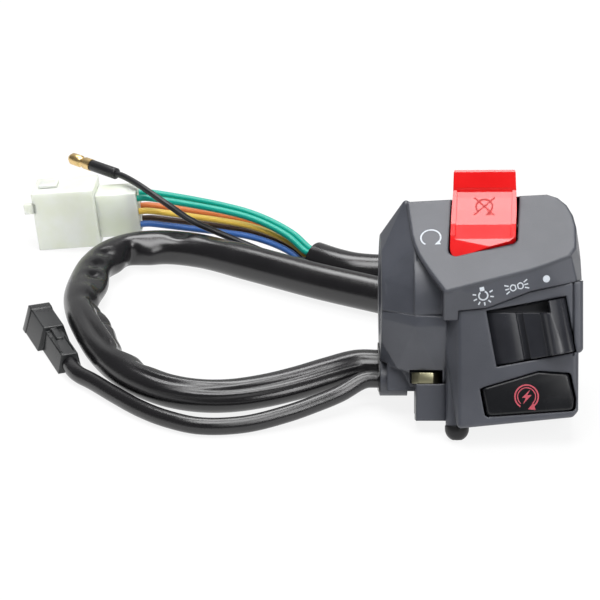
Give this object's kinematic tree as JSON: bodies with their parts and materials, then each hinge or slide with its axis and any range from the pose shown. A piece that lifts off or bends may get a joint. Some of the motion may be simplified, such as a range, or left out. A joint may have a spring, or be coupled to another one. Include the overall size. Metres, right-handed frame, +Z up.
{
  "type": "handlebar switch cluster",
  "caption": "Clamp-on handlebar switch housing with an engine stop rocker, a light rocker, a start button and a sleeved harness with plugs.",
  "frame": {"origin": "on the handlebar's axis, at the middle of the housing's length", "axes": "+X along the handlebar, to the right as the rider sees it; +Y away from the rider; +Z up, with the housing standing on a table at Z = -30 mm"},
  "size_m": [0.1755, 0.1625, 0.0679],
  "materials": {
    "case_plastic": "dark grey moulded plastic with a fine satin grain",
    "red_plastic": "glossy red moulded plastic",
    "black_plastic": "black moulded plastic, half gloss",
    "black_screw": "black coated steel",
    "zinc_nut": "yellow zinc plated steel",
    "steel": "bright steel",
    "brass": "bright brass",
    "phenolic": "dark brown insulating board",
    "black_sleeve": "soft black vinyl with a wet gloss",
    "green_wire": "green vinyl insulation",
    "brown_wire": "brown vinyl insulation",
    "orange_wire": "orange vinyl insulation",
    "yellow_wire": "yellow vinyl insulation",
    "blue_wire": "blue vinyl insulation",
    "black_wire": "black vinyl insulation",
    "nylon": "milky natural nylon"
  },
  "bodies": {
    "housing": {"upper_case": "case_plastic", "lower_case": "case_plastic", "front_screw": "black_screw", "rear_screw": "black_screw", "case_inserts": "brass", "boss_nut": "zinc_nut", "harness_grommet": "black_sleeve", "stop_pivots": "steel", "stop_contact_base": "phenolic", "stop_contacts": "brass", "light_pivots": "steel", "light_contact_base": "phenolic", "light_contacts": "brass", "start_spring": "steel", "start_contact_base": "phenolic", "start_contacts": "brass", "main_sleeve": "black_sleeve", "brake_lead": "black_sleeve", "wire_green_a": "green_wire", "wire_green_b": "green_wire", "wire_brown": "brown_wire", "wire_orange": "orange_wire", "wire_yellow": "yellow_wire", "wire_blue": "blue_wire", "wire_black": "black_wire", "bullet_sleeve": "black_plastic", "bullet_terminal": "brass", "connector_shell": "nylon", "connector_terminals": "brass", "brake_plug": "black_plastic", "brake_terminals": "brass"},
    "stop_switch": {"stop_rocker": "red_plastic", "stop_plunger": "brass", "stop_spring": "steel"},
    "light_switch": {"light_rocker": "black_plastic", "light_plunger": "brass", "light_spring": "steel"},
    "start_switch": {"start_button": "black_plastic", "start_bridge": "brass"}
  },
  "joints": [
    {"name": "stop_tilt", "type": "hinge", "parent": "housing", "child": "stop_switch", "pos_m": [0.00143, -0.0006, 0.02185], "axis": [-0.9905, 0.1246, -0.0581], "range_deg": [0, 17]},
    {"name": "light_tilt", "type": "hinge", "parent": "housing", "child": "light_switch", "pos_m": [0.0134, -0.02039, -0.00114], "axis": [-0.1822, 0.4155, 0.8911], "range_deg": [0, 24]},
    {"name": "start_press", "type": "slide", "parent": "housing", "child": "start_switch", "axis": [0, 0.9063, -0.4226], "range_m": [0, 0.003], "stiffness_N_per_m": 800, "springref_m": -0.002, "deforming": ["start_spring"]}
  ]
}
